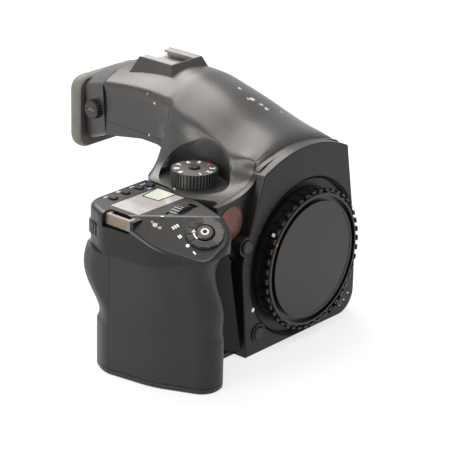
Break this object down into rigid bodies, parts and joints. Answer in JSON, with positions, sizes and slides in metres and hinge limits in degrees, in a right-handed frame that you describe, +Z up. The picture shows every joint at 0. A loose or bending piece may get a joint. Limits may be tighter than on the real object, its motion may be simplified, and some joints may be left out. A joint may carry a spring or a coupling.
{
  "type": "medium format digital camera",
  "caption": "Single-lens-reflex camera body with grip, finder hood, body cap and open rear for a digital back.",
  "frame": {"origin": "mouth of the small tripod socket, under the lens axis, in the plane of the base", "axes": "+Z up; the lens mount faces -Y; the grip is on -X; the finder reaches back along +Y"},
  "size_m": [0.1534, 0.1581, 0.1279],
  "materials": {
    "body_plastic": "satin black, fine speckle",
    "grip_rubber": "smooth dull rubber",
    "foot_plastic": "moulded plastic",
    "cast_frame": "cast, painted black inside",
    "eyecup_rubber": "soft black rubber",
    "optical_glass": "polished glass",
    "mount_steel": "turned steel",
    "lamp_red": "dusty dark red window",
    "cap_plastic": "black moulded plastic, matt face",
    "button_plastic": "satin black",
    "release_metal": "worn silver",
    "dial_plastic": "ribbed black",
    "display_clear": "clear window",
    "display_panel": "pale green panel",
    "shoe_metal": "pressed steel",
    "contact_gold": "gold plated",
    "shutter_black": "thin black sheet",
    "mirror_glass": "front-silvered",
    "sensor_black": "black module",
    "motor_metal": "plated can",
    "board_green": "circuit board",
    "cell_metal": "cell jackets",
    "knob_metal": "black knob",
    "socket_steel": "turned steel"
  },
  "bodies": {
    "root": {"front_cover": "body_plastic", "top_cover": "body_plastic", "finder_floor": "body_plastic", "side_cover": "body_plastic", "base_plate": "body_plastic", "rear_frame": "cast_frame", "mirror_box": "cast_frame", "grip_front_cover": "grip_rubber", "grip_rear_cover": "grip_rubber", "grip_top_cover": "body_plastic", "eyepiece_frame": "body_plastic", "eyecup": "eyecup_rubber", "eyepiece_lens": "optical_glass", "pentaprism": "optical_glass", "focusing_screen": "optical_glass", "lens_mount_ring": "mount_steel", "cover_screws": "mount_steel", "af_lamp_window": "lamp_red", "display_window": "display_clear", "display_module": "display_panel", "hot_shoe": "shoe_metal", "shoe_contacts": "contact_gold", "strap_lugs": "shoe_metal", "af_sensor_module": "sensor_black", "shutter_frame": "shutter_black", "drive_motor": "motor_metal", "main_board": "board_green", "tripod_sockets": "socket_steel", "back_contacts": "contact_gold"},
    "cap": {"body_cap": "cap_plastic"},
    "shutter_release": {"release_button": "release_metal"},
    "drive_ring": {"drive_mode_ring": "dial_plastic"},
    "front_wheel": {"front_dial": "dial_plastic"},
    "rear_wheel": {"rear_dial": "dial_plastic"},
    "mode_wheel": {"mode_dial": "dial_plastic"},
    "mode_lock": {"mode_lock_button": "button_plastic"},
    "ae_lock": {"ae_lock_button": "button_plastic"},
    "dof_preview": {"dof_button": "button_plastic"},
    "lens_release": {"lens_release_button": "button_plastic"},
    "lock_pin": {"lens_lock_pin": "mount_steel"},
    "focus_lever": {"focus_mode_lever": "button_plastic"},
    "diopter": {"diopter_knob": "dial_plastic"},
    "mirror": {"reflex_mirror": "mirror_glass"},
    "small_mirror": {"sub_mirror": "mirror_glass"},
    "battery_holder": {"battery_case": "foot_plastic", "batteries": "cell_metal", "battery_foot": "foot_plastic"},
    "battery_lock": {"battery_lock_knob": "knob_metal"},
    "latch": {"back_latch": "button_plastic"},
    "door": {"terminal_cover": "body_plastic"},
    "info_1": {"info_button_1": "button_plastic"},
    "info_2": {"info_button_2": "button_plastic"},
    "info_3": {"info_button_3": "button_plastic"},
    "info_4": {"info_button_4": "button_plastic"},
    "front_blade_1_body": {"front_blade_1": "shutter_black"},
    "front_blade_2_body": {"front_blade_2": "shutter_black"},
    "front_blade_3_body": {"front_blade_3": "shutter_black"},
    "rear_blade_1_body": {"rear_blade_1": "shutter_black"},
    "rear_blade_2_body": {"rear_blade_2": "shutter_black"},
    "rear_blade_3_body": {"rear_blade_3": "shutter_black"}
  },
  "joints": [
    {"name": "cap_turn", "type": "hinge", "parent": "root", "child": "cap", "pos_m": [0, -0.03, 0.0426], "axis": [0, -1, 0], "range_deg": [0, 60]},
    {"name": "release_press", "type": "slide", "parent": "root", "child": "shutter_release", "axis": [0.4, 0.36, -0.8429], "range_m": [0, 0.0015], "stiffness_N_per_m": 600},
    {"name": "drive_ring_turn", "type": "hinge", "parent": "root", "child": "drive_ring", "pos_m": [-0.08, -0.033, 0.0785], "axis": [-0.4, -0.36, 0.8429], "range_deg": [0, 75]},
    {"name": "front_dial_turn", "type": "hinge", "parent": "root", "child": "front_wheel", "pos_m": [-0.0748, -0.0134, 0.0744], "axis": [0, 1, 0], "continuous": true},
    {"name": "rear_dial_turn", "type": "hinge", "parent": "root", "child": "rear_wheel", "pos_m": [-0.0916, 0.0164, 0.0729], "axis": [0, 0, 1], "continuous": true},
    {"name": "mode_dial_turn", "type": "hinge", "parent": "root", "child": "mode_wheel", "pos_m": [-0.0435, 0.0068, 0.088], "axis": [0, 0, 1], "continuous": true},
    {"name": "mode_lock_press", "type": "slide", "parent": "mode_wheel", "child": "mode_lock", "axis": [0, 0, -1], "range_m": [0, 0.001], "stiffness_N_per_m": 500},
    {"name": "info_1_press", "type": "slide", "parent": "root", "child": "info_1", "axis": [0, 0, -1], "range_m": [0, 0.0006], "stiffness_N_per_m": 500},
    {"name": "info_2_press", "type": "slide", "parent": "root", "child": "info_2", "axis": [0, 0, -1], "range_m": [0, 0.0006], "stiffness_N_per_m": 500},
    {"name": "info_3_press", "type": "slide", "parent": "root", "child": "info_3", "axis": [0, 0, -1], "range_m": [0, 0.0006], "stiffness_N_per_m": 500},
    {"name": "info_4_press", "type": "slide", "parent": "root", "child": "info_4", "axis": [0, 0, -1], "range_m": [0, 0.0006], "stiffness_N_per_m": 500},
    {"name": "ae_lock_press", "type": "slide", "parent": "root", "child": "ae_lock", "axis": [0, -1, 0], "range_m": [0, 0.0006], "stiffness_N_per_m": 500},
    {"name": "dof_press", "type": "slide", "parent": "root", "child": "dof_preview", "axis": [0, 1, 0], "range_m": [0, 0.001], "stiffness_N_per_m": 600},
    {"name": "lens_release_press", "type": "slide", "parent": "root", "child": "lens_release", "axis": [0, 1, 0], "range_m": [0, 0.0015], "stiffness_N_per_m": 1200},
    {"name": "lock_pin_slide", "type": "slide", "parent": "root", "child": "lock_pin", "axis": [0, 1, 0], "range_m": [0, 0.0015]},
    {"name": "focus_lever_turn", "type": "hinge", "parent": "root", "child": "focus_lever", "pos_m": [0, -0.03, 0.0426], "axis": [0, -1, 0], "range_deg": [-7, 7]},
    {"name": "diopter_turn", "type": "hinge", "parent": "root", "child": "diopter", "pos_m": [-0.0218, 0.096, 0.097], "axis": [-1, 0, 0], "range_deg": [-150, 150]},
    {"name": "mirror_lift", "type": "hinge", "parent": "root", "child": "mirror", "pos_m": [0, 0.0236, 0.066], "axis": [-1, 0, 0], "range_deg": [0, 45]},
    {"name": "sub_mirror_fold", "type": "hinge", "parent": "mirror", "child": "small_mirror", "pos_m": [0, 0.0072, 0.04549], "axis": [-1, 0, 0], "range_deg": [-90, 0]},
    {"name": "front_blade_1_slide", "type": "slide", "parent": "root", "child": "front_blade_1_body", "axis": [0, 0, -1], "range_m": [0, 0.0155]},
    {"name": "front_blade_2_slide", "type": "slide", "parent": "root", "child": "front_blade_2_body", "axis": [0, 0, -1], "range_m": [0, 0.02935]},
    {"name": "front_blade_3_slide", "type": "slide", "parent": "root", "child": "front_blade_3_body", "axis": [0, 0, -1], "range_m": [0, 0.0432]},
    {"name": "rear_blade_1_slide", "type": "slide", "parent": "root", "child": "rear_blade_1_body", "axis": [0, 0, -1], "range_m": [0, 0.0423]},
    {"name": "rear_blade_2_slide", "type": "slide", "parent": "root", "child": "rear_blade_2_body", "axis": [0, 0, -1], "range_m": [0, 0.02845]},
    {"name": "rear_blade_3_slide", "type": "slide", "parent": "root", "child": "rear_blade_3_body", "axis": [0, 0, -1], "range_m": [0, 0.0146]},
    {"name": "latch_slide", "type": "slide", "parent": "root", "child": "latch", "axis": [-1, 0, 0], "range_m": [0, 0.004], "stiffness_N_per_m": 200},
    {"name": "battery_holder_slide", "type": "slide", "parent": "root", "child": "battery_holder", "axis": [0, 0, -1], "range_m": [0, 0.06]},
    {"name": "battery_lock_turn", "type": "hinge", "parent": "battery_holder", "child": "battery_lock", "pos_m": [-0.0802, -0.0025, 0.001], "axis": [0, 0, -1], "range_deg": [0, 90]},
    {"name": "terminal_door_open", "type": "hinge", "parent": "root", "child": "door", "pos_m": [0.048, -0.0052, 0.036], "axis": [0, 0, -1], "range_deg": [0, 90]}
  ],
  "couplings": [
    {"joint": "lock_pin_slide", "follows": "lens_release_press", "ratio": 1},
    {"joint": "sub_mirror_fold", "follows": "mirror_lift", "ratio": -2},
    {"joint": "front_blade_1_slide", "follows": "front_blade_3_slide", "ratio": 0.3588},
    {"joint": "front_blade_2_slide", "follows": "front_blade_3_slide", "ratio": 0.6794},
    {"joint": "rear_blade_2_slide", "follows": "rear_blade_1_slide", "ratio": 0.67258},
    {"joint": "rear_blade_3_slide", "follows": "rear_blade_1_slide", "ratio": 0.34515}
  ]
}
